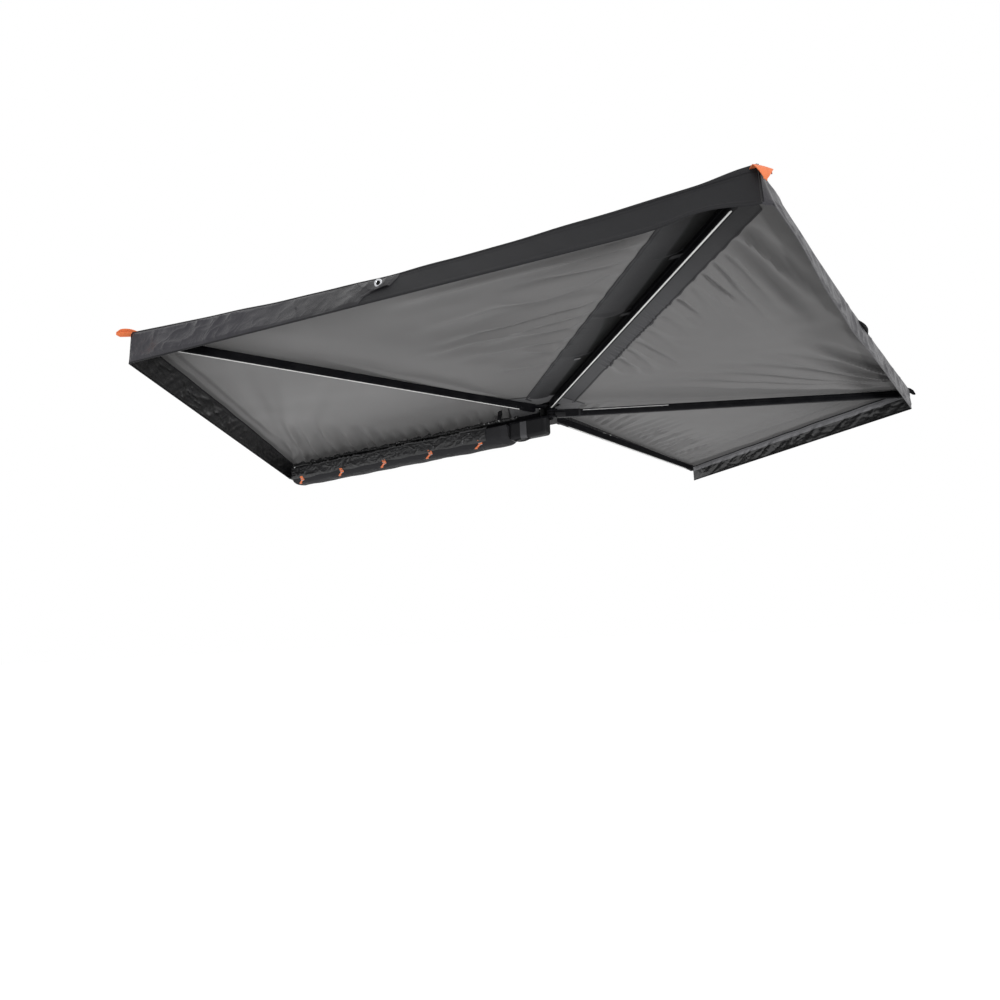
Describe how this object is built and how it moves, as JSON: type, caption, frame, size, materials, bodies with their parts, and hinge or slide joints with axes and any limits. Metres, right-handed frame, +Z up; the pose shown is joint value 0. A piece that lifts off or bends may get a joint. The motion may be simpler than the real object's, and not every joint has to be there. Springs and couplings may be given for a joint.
{
  "type": "vehicle side awning",
  "caption": "Fan awning for a vehicle's side: swinging arms on one hub spread a fabric canopy with a hanging valance from a base rail with rack feet and an open travel cover.",
  "frame": {"origin": "middle of the seat under the middle rack bracket's foot, where the awning stands on a crossbar", "axes": "+Z up, +X towards the vehicle, +Y forward along the base rail"},
  "size_m": [4.7626, 4.8043, 0.2476],
  "materials": {
    "black_coated_aluminium": "satin black powder coat",
    "zinc_plated_steel": "zinc plated",
    "black_moulding": "fine moulded grain",
    "grey_moulding": "satin",
    "black_nylon": "smooth",
    "pale_strip": "satin white",
    "canopy_cloth": "coated ripstop, satin grey underside",
    "skirt_cloth": "coated ripstop, charcoal",
    "flap_cloth": "heavy matt charcoal",
    "cover_cloth": "heavy coated black cloth",
    "orange_webbing": "woven webbing",
    "black_webbing": "woven webbing"
  },
  "bodies": {
    "root": {"base_rail": "black_coated_aluminium", "rail_end_cap": "black_moulding", "canopy_edge_bead": "black_webbing", "hub_bracket": "black_coated_aluminium", "king_pin": "zinc_plated_steel", "king_pin_nut": "zinc_plated_steel", "spacer_bush": "black_nylon", "hub_housing": "black_moulding", "hub_side_band": "grey_moulding", "housing_tie_strap": "black_webbing", "hub_top_cover": "canopy_cloth", "travel_cover": "cover_cloth", "thrust_washer_1": "black_nylon", "thrust_washer_2": "black_nylon", "thrust_washer_3": "black_nylon", "thrust_washer_4": "black_nylon", "rack_bracket_rear": "black_coated_aluminium", "bracket_bolt_rear_1": "zinc_plated_steel", "bracket_bolt_rear_2": "zinc_plated_steel", "rack_bracket_middle": "black_coated_aluminium", "bracket_bolt_middle_1": "zinc_plated_steel", "bracket_bolt_middle_2": "zinc_plated_steel", "rack_bracket_front": "black_coated_aluminium", "bracket_bolt_front_1": "zinc_plated_steel", "bracket_bolt_front_2": "zinc_plated_steel", "cover_strap_1": "orange_webbing", "cover_strap_2": "orange_webbing", "cover_strap_3": "orange_webbing", "cover_strap_4": "orange_webbing", "cover_strap_5": "orange_webbing"},
    "arm_1": {"arm_1_knuckle": "black_coated_aluminium", "arm_1_tube": "black_coated_aluminium", "arm_1_end_cap": "black_moulding", "arm_1_pale_strip": "pale_strip", "corner_tab_1": "orange_webbing", "canopy_panel_1": "canopy_cloth", "valance_1": "skirt_cloth"},
    "arm_2": {"arm_2_knuckle": "black_coated_aluminium", "arm_2_tube": "black_coated_aluminium", "arm_2_end_cap": "black_moulding", "arm_2_pale_strip": "pale_strip", "corner_tab_2": "orange_webbing", "canopy_panel_2": "canopy_cloth", "valance_2": "skirt_cloth", "arm_2_flap_near": "flap_cloth", "arm_2_flap_far": "flap_cloth"},
    "arm_3": {"arm_3_knuckle": "black_coated_aluminium", "arm_3_tube": "black_coated_aluminium", "arm_3_end_cap": "black_moulding", "arm_3_pale_strip": "pale_strip", "corner_tab_3": "black_webbing", "canopy_panel_3": "canopy_cloth", "valance_3": "skirt_cloth"},
    "arm_4": {"arm_4_knuckle": "black_coated_aluminium", "arm_4_tube": "black_coated_aluminium", "arm_4_end_cap": "black_moulding", "arm_4_pale_strip": "pale_strip", "corner_tab_4": "black_webbing", "canopy_panel_4": "canopy_cloth", "valance_4": "skirt_cloth"}
  },
  "joints": [
    {"name": "arm_1_swing", "type": "hinge", "parent": "root", "child": "arm_1", "pos_m": [-0.1623, -1.3325, 0.0977], "axis": [0, 0, 1], "range_deg": [-62, 0], "deforming": ["canopy_panel_1", "valance_1"]},
    {"name": "arm_2_swing", "type": "hinge", "parent": "arm_1", "child": "arm_2", "pos_m": [-0.1623, -1.3325, 0.0977], "axis": [0, 0, 1], "range_deg": [-73, 0], "deforming": ["canopy_panel_2", "valance_2", "arm_2_flap_near", "corner_tab_2"]},
    {"name": "arm_3_swing", "type": "hinge", "parent": "arm_2", "child": "arm_3", "pos_m": [-0.1623, -1.3325, 0.0977], "axis": [0, 0, 1], "range_deg": [-73.5, 0], "deforming": ["canopy_panel_3", "valance_3", "arm_2_flap_far"]},
    {"name": "arm_4_swing", "type": "hinge", "parent": "arm_3", "child": "arm_4", "pos_m": [-0.1623, -1.3325, 0.0977], "axis": [0, 0, 1], "range_deg": [-53.5, 0], "deforming": ["canopy_panel_4", "valance_4"]}
  ]
}
